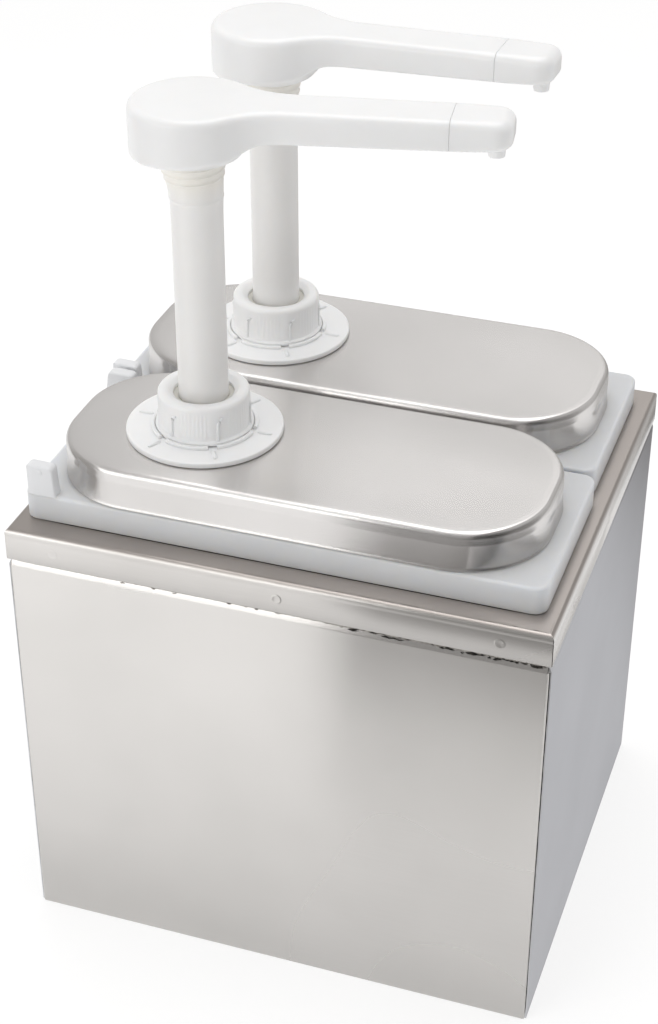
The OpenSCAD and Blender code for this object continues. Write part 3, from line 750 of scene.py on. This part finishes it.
def tub_lug(cx, cy, mirror):
    """Upstanding lug on a back corner of the rim, with soft edges and a pivot pip on its outer face.

    Its outline is drawn in (u, z), with u along X from the rim's end, and inset for each station of
    its thickness so that both faces have soft edges.
    """
    x0, y0 = cx - RIM_L / 2, cy + mirror * RIM_W / 2
    low = RIM_Z - LUG_SINK
    back_r, front_r = 2.6, 2.0
    outline = [(LUG_BACK, low), (LUG_BACK, RIM_Z)]
    outline += arc(LUG_BACK + LUG_DRAFT + back_r, LUG_Z - back_r, back_r, 180, 90, 8)
    outline += arc(LUG_LONG - 2.4, LUG_Z - 0.2 - front_r, front_r, 90, 10, 6)
    outline += [(LUG_LONG + 0.3, RIM_Z + 0.6), (LUG_LONG + 1.2, low)]
    middle_u, middle_z = LUG_LONG / 2, (LUG_Z + low) / 2
    turns = (0, 0.26, 0.52, 0.79, 1.05, 1.31, 1.57)
    stations = [(LUG_IN + LUG_EDGE * (1 - cos(a)), sin(a)) for a in turns]
    stations += [(2 * LUG_IN + LUG_THICK - v, t) for v, t in stations[::-1]]
    rings = []
    for v, t in stations:
        inset = LUG_EDGE * (1 - t)
        corner_in = RIM_R - sqrt(max(RIM_R ** 2 - max(RIM_R - v, 0) ** 2, 0))
        ring = []
        for u, z in outline:
            away = Vector((middle_u - u, middle_z - z)).normalized() * inset
            ring.append((x0 + max(u + away.x, corner_in + 0.1 + inset), y0 - mirror * v, z + min(away.y, 0)))
        rings.append(ring)
    pip_x, pip_z = x0 + PIP_AT, LUG_Z - PIP_DOWN
    pip_rings = [[(pip_x + r * cos(a), y0 - mirror * (LUG_IN - out), pip_z + r * sin(a))
                  for a in full_turn(20)] for r, out in PIP]
    return joined(solid(rings), solid(pip_rings))


def lid(side):
    """Drawn sheet lid: small flared foot, upright wall with a faint draw line, round edge, flat top."""
    place = TUB_AT[side]
    draw_line, edge_in, plate_in = LID_Z - 5.2, LID_EDGE + 0.12, LID_EDGE + 2.5
    section = [(-SHEET, RIM_Z + 0.3), (-0.5, RIM_Z + 0.05), (0.25, RIM_Z + 0.05), (HEM_OUT, RIM_Z + 0.2),
               (0.38, RIM_Z + 0.5), (0.22, RIM_Z + 0.85), (0.04, RIM_Z + 1.3), (-0.02, RIM_Z + 1.9),
               (-0.06, draw_line - 0.5), (-0.02, draw_line), (-0.12, draw_line + 0.5)]
    section += arc(-edge_in, LID_Z - LID_EDGE, LID_EDGE, 0, 90, 10)
    plate = len(section)
    section += [(-plate_in, LID_Z), (-plate_in, LID_Z - SHEET)]
    section += arc(-edge_in, LID_Z - LID_EDGE, LID_EDGE - SHEET, 90, 0, 8)
    rings = [rect_ring(LID_L + 2 * o, LID_W + 2 * o, LID_R + o, z, *place, steps=24) for o, z in section]
    face = tuple(range(len(rings[0])))
    shape = joined(skin(rings, looped=True), (rings[plate], [face]), (rings[plate + 1], [face[::-1]]))
    piece(side + "_lid_drawn", shape, LID_STEEL, side + "_cover", [side + "_lid"], sharp=50)


for side_name in SIDES:
    tub(side_name)
    lid(side_name)


# ---- pumps ----

FLANGE_R = 63.5 / 2
COLLAR_R = 18.5
NECK_BORE, NECK_R, SPIGOT_R = 13.0, 15.3, 17.0
RIBS = 6
RIB_PITCH = 360 / RIBS
RIB_TURN = 51.6
FLUTE_DEEP, FLUTE_PITCH = 0.16, 5
# Stations up a collar rib: (height, how far its hook leans round, radius).
COLLAR_RIB = ((0.6, 0, 0.5), (1.4, 0, 0.72), (3, 0, 0.7), (6, 0, 0.68), (8.6, 0, 0.68), (9.8, 0.02, 0.72),
              (10.6, 0.05, 0.7), (11.1, 0.085, 0.62), (11.3, 0.115, 0.4))
# Stations out along a flange rib: (distance from the axis, radius).
FLANGE_RIB = ((22.4, 0.05), (22.7, 0.6), (23.4, 0.88), (25.5, 0.92), (27.8, 0.88), (28.5, 0.6), (28.8, 0.05))


def pump_flange(side):
    """Flange disc with neck and spigot, and round its top six ribs with raised arcs between them."""
    low, high = box_mm(side + "_pump_flange")
    cx, cy = PUMP_AT[side]
    disc_z, disc_top = LID_Z + 0.25, LID_Z + 2.6
    profile = [(NECK_BORE, low.z), (SPIGOT_R, low.z), (SPIGOT_R, disc_z), (FLANGE_R, disc_z),
               (FLANGE_R, disc_top), (NECK_R, disc_top), (NECK_R, high.z), (NECK_BORE, high.z)]
    parts = [lathe(round_corners(profile, 0.7, steps=4), cx, cy, 128)]
    arc_in, arc_out, arc_low, arc_high = 20.1, 21.7, disc_top - 0.2, disc_top + 1.4
    raised = [(arc_out, arc_low), (arc_out, arc_high), (arc_in, arc_high), (arc_in, arc_low)]
    raised = round_corners(raised, 0.6, steps=4)
    arc_from, arc_span, steps = 5, 50, 20
    for k in range(RIBS):
        rib_turn = RIB_PITCH * (k - 1)
        a = radians(rib_turn)
        points = [(*polar(cx, cy, r, a), disc_top - 0.1) for r, _ in FLANGE_RIB]
        parts.append(capsule(points, [size for _, size in FLANGE_RIB]))
        rings = []
        for t in range(steps + 1):
            b = radians(rib_turn + arc_from + arc_span * t / steps)
            rings.append([(*polar(cx, cy, r, b), z) for r, z in raised])
        parts.append(solid(rings))
    piece(side + "_pump_flange_ribbed", joined(*parts), FLANGE_PLASTIC_LIT, side + "_cover",
          [side + "_pump_flange"])


def collar_nut(side):
    """Screw collar: beaded foot, fluted wall with hooked ribs, round top, bevelled mouth round the stem."""
    low, high = box_mm(side + "_collar_nut")
    cx, cy = PUMP_AT[side]
    mouth, bore, wall_r, top_r, taper = 12.25, 15.5, 18.6, 2.0, 0.12
    foot = ((19.2, 0), (19.75, 0.35), (19.9, 0.9), (19.75, 1.45), (19.2, 1.8), (18.75, 2.1), (18.62, 2.8))
    bevel = ((2.3, 0), (1.9, 0.25), (0.5, 1.3), (0, 1.7), (0, 3))
    profile = [(r, low.z + up) for r, up in foot]
    profile += [(wall_r - taper * k / 8, low.z + 3 + (high.z - low.z - 5.4) * k / 8) for k in range(9)]
    profile += arc(COLLAR_R - top_r, high.z - top_r, top_r, 0, 90, 6)
    profile += [(mouth + out, high.z - down) for out, down in bevel]
    profile += [(bore, high.z - 3), (bore, low.z)]

    def fluted(a, r, z):
        on_wall = smoothstep(low.z + 2.5, low.z + 3.5, z) * (1 - smoothstep(high.z - 3.5, high.z - 2.2, z))
        if r < COLLAR_R - 1 or on_wall <= 0:
            return r
        phase = (degrees(a) + RIB_TURN) % RIB_PITCH
        group = smoothstep(8, 14, phase) * (1 - smoothstep(46, 52, phase))
        wave = 0.5 - 0.5 * cos(radians(phase * 360 / FLUTE_PITCH))
        return r - FLUTE_DEEP * on_wall * group * wave

    parts = [lathe(profile, cx, cy, 360, fluted)]
    rib_at = wall_r - 0.05
    for k in range(RIBS):
        points, radii = [], []
        for up, hook, size in COLLAR_RIB:
            turn = radians(RIB_PITCH * k - RIB_TURN) + hook
            points.append((*polar(cx, cy, rib_at, turn), low.z + up))
            radii.append(size)
        parts.append(capsule(points, radii))
    piece(side + "_collar_nut_fluted", joined(*parts), FLANGE_PLASTIC_LIT, side + "_cover",
          [side + "_collar_nut"])


def stem(side):
    """Stem that flares into a neck, with one low ridge and, above it, a low helical lock thread."""
    low, high = box_mm(side + "_stem")
    cx, cy = PUMP_AT[side]
    turn = SPOUT_TURN[side]
    bore, foot_r, foot_z, tenon_r = 3.5, 8, low.z + 9.9, 7.5
    flare_z, neck_r, flare_power, steps = HEAD_Z - 25, 12.8, 2.3, 80
    ridge_z, ridge_up, ridge_half = HEAD_Z - 15.5, 0.22, 0.45
    thread_z, pitch, thread_up = HEAD_Z - 9.5, 2.9, 0.55
    lean_z, lean = HEAD_Z - 17, 1.2
    profile = [(bore, low.z), (foot_r, low.z), (foot_r, foot_z), (STEM_R, foot_z), (STEM_R, flare_z)]
    profile = round_corners(profile, 0.5, closed=False)
    for k in range(1, steps + 1):
        t = k / steps
        profile.append((STEM_R + (neck_r - STEM_R) * t ** flare_power, flare_z + (HEAD_Z - flare_z) * t))
    profile += [(tenon_r, HEAD_Z), (tenon_r, high.z), (bore, high.z)]

    def lean_at(z):
        """How far the flare swells towards the back of the head, from 0 to 1."""
        return smoothstep(lean_z, HEAD_Z, z) * (1 - smoothstep(HEAD_Z - 0.01, HEAD_Z + 0.01, z))

    def threaded(a, r, z):
        if r < STEM_R or z >= HEAD_Z:
            return r
        if z < thread_z:
            return r + ridge_up * exp(-((z - ridge_z) / ridge_half) ** 2)
        rise = (z - thread_z) / pitch - a / (2 * pi)
        crest = max(0.0, cos(2 * pi * rise)) ** 3
        run = smoothstep(thread_z, thread_z + 2.4, z) * (1 - smoothstep(HEAD_Z - 0.6, HEAD_Z, z))
        part = 0.35 + 0.65 * (0.5 + 0.5 * cos(a - turn + 0.6)) ** 0.7
        return r + thread_up * crest * run * part

    verts, faces = lathe(profile, cx, cy, 144, threaded)
    lean_x, lean_y = lean * cos(turn), lean * sin(turn)
    shape = [(x - lean_x * lean_at(z), y - lean_y * lean_at(z), z) for x, y, z in verts], faces
    piece(side + "_stem_threaded", shape, NECK_PLASTIC, side + "_spout", [side + "_stem"],
          sharp=60)


HEAD_R, BOWL_R, ARM_HALF, BLEND_R = 24.5, 13.6, 11.0, 32.0
HEAD_TOP = HEAD_Z + 22.9
EDGE_Z, EDGE_RISE = HEAD_TOP - 18.2, 0.105
ARM_UNDER, ARM_RISE = HEAD_TOP - 12.9, tan(radians(1.9))
REACH, SEAM, TIP_R, NOZZLE_AT = 118.5, 96.0, 7.0, 112.3
BACK_STEPS = 40


def spout_outline():
    """Half of the plan outline with its normals, from the back of the head to the middle of the tip."""
    blend_s = sqrt((HEAD_R + BLEND_R) ** 2 - (ARM_HALF + BLEND_R) ** 2)
    meet = degrees(atan2(ARM_HALF + BLEND_R, blend_s))
    made = []
    for s, d in arc(0, 0, HEAD_R, 180, 360 - meet, BACK_STEPS):
        made.append((s, d, s / HEAD_R, d / HEAD_R))
    centre = (blend_s, -ARM_HALF - BLEND_R)
    for s, d in arc(*centre, BLEND_R, 180 - meet, 90, 16)[1:]:
        made.append((s, d, (centre[0] - s) / BLEND_R, (centre[1] - d) / BLEND_R))
    stations = 14
    for k in range(1, stations + 1):
        made.append((blend_s + (REACH - TIP_R - blend_s) * k / stations, -ARM_HALF, 0, -1))
    corner = (REACH - TIP_R, TIP_R - ARM_HALF)
    for s, d in arc(*corner, TIP_R, -90, 0, 12)[1:]:
        made.append((s, d, (s - corner[0]) / TIP_R, (d - corner[1]) / TIP_R))
    made.append((REACH, 0, 1, 0))
    return made


def spout_shape():
    """Rings over the whole spout in its own (s, d, z): top, round edges, walls, underside, neck."""
    half = spout_outline()
    outline = half + [(s, -d, ns, -nd) for s, d, ns, nd in half[-2:0:-1]]
    lengths = [0.0]
    for a, b in zip(half, half[1:]):
        lengths.append(lengths[-1] + dist(a[:2], b[:2]))
    meet_angle = atan2(half[BACK_STEPS][1], half[BACK_STEPS][0])

    def neck_angle(index):
        """Where round the neck an outline point comes in, so that the underside's rings don't twist."""
        mirrored = index >= len(half)
        i = len(outline) - index if mirrored else index
        s, d = half[i][:2]
        if i <= BACK_STEPS:
            a = atan2(d, s) if i else -pi
        else:
            along = lengths[i] - lengths[BACK_STEPS]
            a = meet_angle * (1 - along / (lengths[-1] - lengths[BACK_STEPS]))
        return -a if mirrored else a

    def top_z(s):
        return HEAD_TOP + tan(radians(1.0)) * s * smoothstep(-2, 22, s)

    def edge_r(s):
        return 3.2 + 1.2 * smoothstep(SEAM + 2, REACH - 6, s)

    def under_z(s, d):
        rho = hypot(s, d)
        across = min(max((rho - BOWL_R) / (HEAD_R - BOWL_R), 0), 1)
        bowl = HEAD_Z + (EDGE_Z + EDGE_RISE * s - HEAD_Z) * across ** 1.1
        to_arm = smoothstep(16.5, 28, s)
        return bowl * (1 - to_arm) + (ARM_UNDER + s * ARM_RISE) * to_arm

    def low_edge_r(s):
        return 1.3 + 1.4 * smoothstep(SEAM + 4, REACH - 4, s)

    rings = []
    spine = [(min(max(s, 0), REACH - ARM_HALF), 0.0) for s, d, ns, nd in outline]
    for t in (1.0, 0.6, 0.25):
        ring = []
        for (s, d, ns, nd), (ss, sd) in zip(outline, spine):
            r = edge_r(s)
            s1, d1 = s - ns * r, d - nd * r
            s2, d2 = s1 + (ss - s1) * t, d1 + (sd - d1) * t
            ring.append((s2, d2, top_z(s2)))
        rings.append(ring)
    for step in range(9):
        phi = radians(90 - 90 * step / 8)
        back, down = 1 - cos(phi), 1 - sin(phi)
        rings.append([(s - ns * edge_r(s) * back, d - nd * edge_r(s) * back, top_z(s) - edge_r(s) * down)
                      for s, d, ns, nd in outline])
    for t in (0.33, 0.66):
        rings.append([(s, d, (top_z(s) - edge_r(s)) * (1 - t) + (under_z(s, d) + low_edge_r(s)) * t)
                      for s, d, ns, nd in outline])
    for step in range(6):
        phi = radians(90 * step / 5)
        ring = []
        for s, d, ns, nd in outline:
            inset = low_edge_r(s) * (1 - cos(phi))
            s1, d1 = s - ns * inset, d - nd * inset
            ring.append((s1, d1, under_z(s1, d1) + low_edge_r(s) * (1 - sin(phi))))
        rings.append(ring)
    lowest = rings[-1]
    turns = [neck_angle(i) for i in range(len(outline))]
    steps, socket_r = 26, 12.4
    for k in range(1, steps + 1):
        t = 1 - (1 - k / steps) ** 2
        ring = []
        for (s, d, _), a in zip(lowest, turns):
            qs, qd = polar(0, 0, BOWL_R, a)
            s1, d1 = s + (qs - s) * t, d + (qd - d) * t
            ring.append((s1, d1, under_z(s1, d1)))
        rings.append(ring)
    for r, z in ((BOWL_R - 0.5, HEAD_Z), (socket_r, HEAD_Z + 0.1), (socket_r, HEAD_Z + 3)):
        rings.append([(*polar(0, 0, r, a), z) for a in turns])
    return skin(rings, cap_end=True)


def spout(side):
    """The head with its arm, and the nozzle tip, cut from one shape at the seam."""
    cx, cy = PUMP_AT[side]
    turn = SPOUT_TURN[side]
    merge, sliver, on_cut, ease, seam_gap = 0.003, 0.002, 0.0005, 0.12, 0.08

    def placed(s, d, z):
        return (cx + s * cos(turn) - d * sin(turn), cy + s * sin(turn) + d * cos(turn), z)

    verts, faces = spout_shape()
    for name, cut, keep_outer in (("spout_head", SEAM, False), ("nozzle_tip", SEAM + seam_gap, True)):
        bm = bmesh.new()
        made = [bm.verts.new(Vector(v)) for v in verts]
        for face in faces:
            if len(set(face)) > 2:
                bm.faces.new([made[i] for i in face])
        bmesh.ops.remove_doubles(bm, verts=bm.verts, dist=merge)
        bmesh.ops.dissolve_degenerate(bm, edges=bm.edges, dist=sliver)
        cut_made = bmesh.ops.bisect_plane(
            bm, geom=bm.verts[:] + bm.edges[:] + bm.faces[:], dist=on_cut, plane_co=(cut, 0, 0),
            plane_no=(1, 0, 0), clear_outer=not keep_outer, clear_inner=keep_outer)
        rim = [e for e in cut_made["geom_cut"] if isinstance(e, bmesh.types.BMEdge)]
        bmesh.ops.contextual_create(bm, geom=rim)
        bmesh.ops.recalc_face_normals(bm, faces=bm.faces)
        rim = [e for e in bm.edges if all(abs(v.co.x - cut) < sliver for v in e.verts)]
        bmesh.ops.bevel(bm, geom=rim, offset=ease, segments=1, affect="EDGES", profile=0.5,
                        clamp_overlap=True)
        bm.verts.index_update()
        shape = [placed(*v.co) for v in bm.verts], [tuple(v.index for v in f.verts) for f in bm.faces]
        bm.free()
        if name == "nozzle_tip":
            nub_x, nub_y, _ = placed(NOZZLE_AT, 0, 0)
            bottom = box_mm(side + "_nozzle_tip")[0].z
            root, bore = ARM_UNDER + NOZZLE_AT * ARM_RISE, 2.2
            nub = [(bore, root + 2), (5.0, root + 2), (4.0, root - 0.3), (3.3, root - 2), (3.1, bottom),
                   (bore, bottom)]
            shape = joined(shape, lathe(round_corners(nub, 0.9, steps=5), nub_x, nub_y, 48))
        node = side + "_" + name
        piece(node + "_moulded", shape, PUMP_PLASTIC, side + "_spout", [node], sharp=42)


def spring(side):
    """Compression spring, a coil of round wire."""
    low, high = box_mm(side + "_return_spring")
    cx, cy = PUMP_AT[side]
    wire, coil_r, turns, steps = 0.7, 9.0, 12, 28
    count = turns * steps
    points = []
    for i in range(count + 1):
        t = i / count
        a = 2 * pi * turns * t
        z = low.z + wire + (high.z - low.z - 2 * wire) * t
        points.append((*polar(cx, cy, coil_r, a), z))
    made = piece(side + "_return_spring_wire", capsule(points, [wire] * len(points)), POLISHED,
                 side + "_cover", [side + "_return_spring"], sharp=60)
    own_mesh(made)


def turned(side, name, profile, material, edge=0.3):
    """A round part of the pump: its profile with eased edges, turned round the part's own axis."""
    node = side + name
    made = lathe(round_corners(profile, edge, steps=3), *middle(node))
    piece(node + "_turned", made, material, side + "_cover", [node])


def sleeve(side, name, bore, outer, collar, material, edge=0.3):
    """A turned tube with a collar round its top as wide as the flange's neck."""
    z0, z1 = (c.z for c in box_mm(side + name))
    profile = [(bore, z0), (outer, z0), (outer, z1 - collar), (NECK_R, z1 - collar), (NECK_R, z1), (bore, z1)]
    turned(side, name, profile, material, edge)


def hidden_parts(side):
    """The parts inside the pump and under the lid."""
    barrel_in, barrel_r, stem_bore, gasket_r = 11.3, 13, 10.08, 29.75
    sleeve(side, "_pump_cylinder", barrel_in, barrel_r, 1.6, PUMP_PLASTIC)
    sleeve(side, "_guide_bush", stem_bore, barrel_in, 0.8, INNER_PLASTIC, edge=0.15)
    z0, z1 = (c.z for c in box_mm(side + "_flange_gasket"))
    profile = [(SPIGOT_R, z0), (gasket_r, z0), (gasket_r, z1), (SPIGOT_R, z1)]
    turned(side, "_flange_gasket", profile, SILICONE)
    z0, z1 = (c.z for c in box_mm(side + "_inlet_valve_body"))
    seat, top, ball_room, tube_r, hole_r = z0 + 10, z1 - 5, 6, 8, 3.5
    profile = [(ball_room, z0), (tube_r, z0), (tube_r, top - 4), (barrel_r, top - 4), (barrel_r, top),
               (barrel_in, top), (barrel_in, z1), (ball_room, z1), (ball_room, seat), (hole_r, seat),
               (hole_r, seat - 2), (ball_room, seat - 2)]
    turned(side, "_inlet_valve_body", profile, INNER_PLASTIC)
    low, high = box_mm(side + "_back_nut")
    cx, cy = PUMP_AT[side]
    nut_r, ease = 25, 0.8
    ring = round_corners([polar(cx, cy, nut_r, a) for a in full_turn(6)], 2.0, steps=5)
    hole = [polar(cx, cy, SPIGOT_R, atan2(y - cy, x - cx)) for x, y in ring]
    chamfer = [(0.96, low.z), (1, low.z + ease), (1, high.z - ease), (0.96, high.z)]
    rings = [[(cx + (x - cx) * k, cy + (y - cy) * k, z) for x, y in ring] for k, z in chamfer]
    rings += [[(x, y, z) for x, y in hole] for z in (high.z, low.z)]
    piece(side + "_back_nut_moulded", skin(rings, looped=True), INNER_PLASTIC, side + "_cover",
          [side + "_back_nut"], sharp=25)


CAD_KEPT = (("dip_tube", PUMP_PLASTIC), ("piston", PUMP_PLASTIC), ("piston_seal", SILICONE),
            ("inlet_ball", POLISHED), ("outlet_ball", POLISHED))

for side_name in SIDES:
    pump_flange(side_name)
    collar_nut(side_name)
    stem(side_name)
    spout(side_name)
    spring(side_name)
    hidden_parts(side_name)
    for part, finish in CAD_KEPT:
        node = frame["nodes"][side_name + "_" + part]
        node.data.materials.clear()
        node.data.materials.append(finish)


# ---- floor, light and camera ----

FRONT_GLOW, BACK_GLOW = 0.38, 0.72


def floor():
    """Plain pale floor, just under the object so that no two faces share a plane."""
    half, down = 6.0, -0.0004
    mesh = new_mesh("floor", [(sx * half, sy * half, down) for sx, sy in CORNERS], [(0, 1, 2, 3)])
    shader = Shader("floor_white", Roughness=0.9, Emission_Color=(1, 1, 1, 1), Emission_Strength=0.72)
    shader.colour(shader.mix(shader.noise(6, detail=2), (0.34, 0.34, 0.34), (0.36, 0.36, 0.36)))
    mesh.materials.append(shader.material)
    add_object("floor", mesh)


def flag(name, start, end, radius, top, glow):
    """Curved studio board that only reflections see, between two angles in degrees from -Y towards +X."""
    steps = 16
    turns = [radians(start + (end - start) * i / steps) for i in range(steps + 1)]
    rings = [[(radius * sin(a), -radius * cos(a), z) for a in turns] for z in (0, top)]
    mesh = new_mesh(name, *skin(rings, open_ring=True))
    shader = Shader(name, Roughness=1.0, Base_Color=(0, 0, 0, 1), Specular_IOR_Level=0.0,
                    Emission_Color=(1.0, 0.97, 0.94, 1))
    shade = shader.span(shader.noise(3, detail=2), 0.3, 0.7, 0.85 * glow, 1.15 * glow)
    shader.link(shade, shader.bsdf.inputs["Emission Strength"])
    mesh.materials.append(shader.material)
    made = add_object(name, mesh)
    made.visible_camera = made.visible_diffuse = made.visible_shadow = False


def aimed(made, place, look):
    """Puts a lamp or camera at a place, looking along a direction."""
    made.location = place
    made.rotation_mode = "QUATERNION"
    made.rotation_quaternion = look.to_track_quat("-Z", "Y")


def area_light(name, place, aim, size, power, colour):
    """A rectangular lamp aimed at a point."""
    lamp = bpy.data.lights.new(name, "AREA")
    lamp.shape, lamp.size, lamp.size_y = "RECTANGLE", *size
    lamp.energy, lamp.color = power, colour
    aimed(add_object(name, lamp), place, Vector(aim) - Vector(place))


def world():
    """Soft surroundings: a pale backdrop behind, darker towards the front; plain white to the camera."""
    made = bpy.data.worlds.new("studio")
    scene.world = made
    made.use_nodes = True
    add, link = made.node_tree.nodes.new, made.node_tree.links.new
    made.node_tree.nodes.clear()
    coords, split = add("ShaderNodeTexCoord"), add("ShaderNodeSeparateXYZ")
    link(coords.outputs["Generated"], split.inputs["Vector"])
    span = add("ShaderNodeMapRange")
    span.interpolation_type = "SMOOTHSTEP"
    fill(span, {"From Min": -0.55, "From Max": 0.45, "To Min": FRONT_GLOW, "To Max": BACK_GLOW})
    link(split.outputs["Y"], span.inputs["Value"])
    light, seen, mix = add("ShaderNodeBackground"), add("ShaderNodeBackground"), add("ShaderNodeMixShader")
    path, out = add("ShaderNodeLightPath"), add("ShaderNodeOutputWorld")
    link(span.outputs["Result"], light.inputs["Strength"])
    fill(light, {"Color": (1.0, 0.99, 0.98, 1)})
    fill(seen, {"Color": (1, 1, 1, 1)})
    link(path.outputs["Is Camera Ray"], mix.inputs["Fac"])
    link(light.outputs["Background"], mix.inputs[1])
    link(seen.outputs["Background"], mix.inputs[2])
    link(mix.outputs["Shader"], out.inputs["Surface"])


def camera():
    """A long-lens view of the near long side, from a little towards +X and above."""
    data = bpy.data.cameras.new("camera")
    data.lens, data.sensor_width, data.sensor_fit = 71.5, 36, "AUTO"
    data.clip_start = 0.01
    made = add_object("camera", data)
    aimed(made, (0.2295, -0.6966, 0.6450), Vector((-0.2719, 0.7953, -0.5418)))
    scene.camera = made


floor()
world()
camera()
flag("low_flag", -5, 30, 0.30, 0.15, 0.22)
flag("right_flag", -9, 30, 0.42, 0.26, 0.24)
flag("dark_flag", 30, 62, 0.42, 0.5, 0.03)
flag("far_right_flag", 62, 101, 0.42, 0.5, 0.25)
flag("back_flag", 138, 200, 0.42, 0.3, 0.4)
flag("left_flag", -90, -52, 0.42, 0.5, 0.42)
area_light("key", (-0.65, -1.07, 0.66), (0, 0, 0.2), (0.86, 0.46), 4.2, (1.0, 0.995, 0.985))
area_light("top", (-0.02, 0.12, 1.5), (0, 0, 0.2), (1.0, 1.0), 8.2, (1, 1, 1))
scene.view_settings.view_transform = "Standard"
